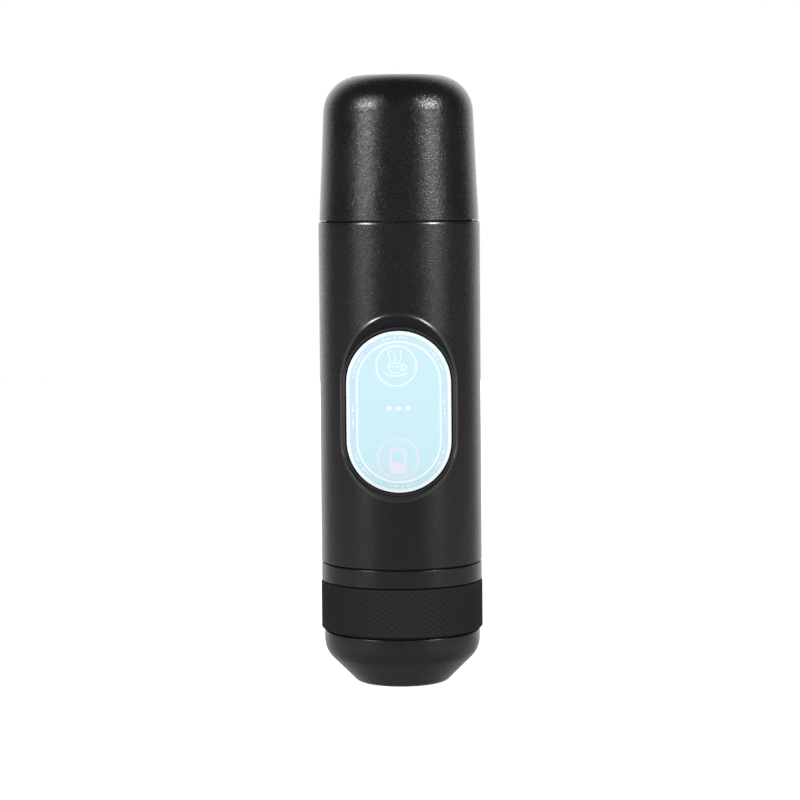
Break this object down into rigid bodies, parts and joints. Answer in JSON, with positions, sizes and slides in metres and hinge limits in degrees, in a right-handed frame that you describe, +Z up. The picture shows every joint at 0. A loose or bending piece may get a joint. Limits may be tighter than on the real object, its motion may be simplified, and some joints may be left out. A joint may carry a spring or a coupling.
{
  "type": "portable coffee machine",
  "caption": "Slim battery-powered capsule coffee machine: cylindrical body with an oval press pad, drinking cup on top, knurled screw-off outlet head and pull-off base cap.",
  "frame": {"origin": "centre of the foot face of the base cap, on the axis of the machine", "axes": "+Z up along the machine axis, the press pad faces -Y, +X to the right of someone facing the pad"},
  "size_m": [0.0604, 0.0604, 0.226],
  "materials": {
    "black_shell": "fine matte grain",
    "dark_plastic": "matte",
    "black_rubber": "matte",
    "silicone": "satin",
    "tank_plastic": "clear smoke, polished",
    "white_plastic": "satin",
    "blue_overlay": "printed film",
    "steel": "brushed",
    "chamber_metal": "satin",
    "brass_metal": "machined",
    "winding": "potted copper winding",
    "board_green": "solder mask",
    "cell_wrap": "shrink wrap",
    "lead_red": "satin"
  },
  "bodies": {
    "machine": {"main_housing": "black_shell", "pad_bezel": "dark_plastic", "board_parts": "dark_plastic", "inner_frame": "dark_plastic", "brew_block": "dark_plastic", "cup_ring": "black_rubber", "plunger_buffer": "black_rubber", "pump_foot": "black_rubber", "pump_grommet": "black_rubber", "inlet_hose": "silicone", "outlet_hose": "silicone", "water_tank": "tank_plastic", "status_leds": "white_plastic", "pump_tube": "white_plastic", "tank_strainer": "steel", "tact_switch": "steel", "frame_screws": "steel", "cell_strips": "steel", "usb_socket": "steel", "pump_yoke": "steel", "plunger_spring": "steel", "valve_spring": "steel", "needle_plate": "steel", "capsule_chamber": "chamber_metal", "pump_head": "brass_metal", "pump_coil": "winding", "control_board": "board_green", "charge_board": "board_green", "battery_cells": "cell_wrap", "wire_leads": "lead_red"},
    "cup": {"drinking_cup": "black_shell"},
    "lid_seal_body": {"lid_seal": "silicone"},
    "lid": {"tank_lid": "dark_plastic"},
    "pad": {"press_pad": "white_plastic", "pad_overlay": "blue_overlay", "switch_plunger": "dark_plastic"},
    "plunger": {"pump_plunger": "steel"},
    "valve": {"valve_ball": "steel"},
    "port_plug": {"port_cover": "black_rubber"},
    "pierce": {"pierce_plate": "steel", "plate_gasket": "silicone"},
    "head": {"head_shell": "black_shell", "grip_sleeve": "black_rubber", "outlet_funnel": "dark_plastic"},
    "base": {"base_cap": "black_shell", "cap_plug": "dark_plastic", "cap_ring": "black_rubber"}
  },
  "joints": [
    {"name": "cup_lift", "type": "slide", "parent": "machine", "child": "cup", "axis": [0, 0, 1], "range_m": [0, 0.06]},
    {"name": "lid_lift", "type": "slide", "parent": "machine", "child": "lid_seal_body", "axis": [0, 0, 1], "range_m": [0, 0.007]},
    {"name": "lid_turn", "type": "hinge", "parent": "lid_seal_body", "child": "lid", "pos_m": [0, 0, 0.188], "axis": [0, 0, 1], "range_deg": [0, 252]},
    {"name": "pad_press", "type": "slide", "parent": "machine", "child": "pad", "axis": [0, 1, 0], "range_m": [0, 0.0008], "stiffness_N_per_m": 2000, "springref_m": -0.0003},
    {"name": "plunger_stroke", "type": "slide", "parent": "machine", "child": "plunger", "axis": [0, 0, 1], "range_m": [0, 0.004], "stiffness_N_per_m": 700, "springref_m": -0.002, "deforming": ["plunger_spring"]},
    {"name": "valve_lift", "type": "slide", "parent": "machine", "child": "valve", "axis": [0, 0, -1], "range_m": [0, 0.001], "stiffness_N_per_m": 200, "springref_m": -0.001, "deforming": ["valve_spring"]},
    {"name": "port_pull", "type": "slide", "parent": "machine", "child": "port_plug", "axis": [0, 1, 0], "range_m": [0, 0.008]},
    {"name": "head_drop", "type": "slide", "parent": "machine", "child": "pierce", "axis": [0, 0, -1], "range_m": [0, 0.007]},
    {"name": "head_turn", "type": "hinge", "parent": "pierce", "child": "head", "pos_m": [0, 0, 0.03], "axis": [0, 0, -1], "range_deg": [0, 157.5]},
    {"name": "base_pull", "type": "slide", "parent": "head", "child": "base", "axis": [0, 0, -1], "range_m": [0, 0.03]}
  ],
  "couplings": [
    {"joint": "lid_turn", "follows": "lid_lift", "rad_per_m": 628.32},
    {"joint": "head_turn", "follows": "head_drop", "rad_per_m": 392.7}
  ]
}
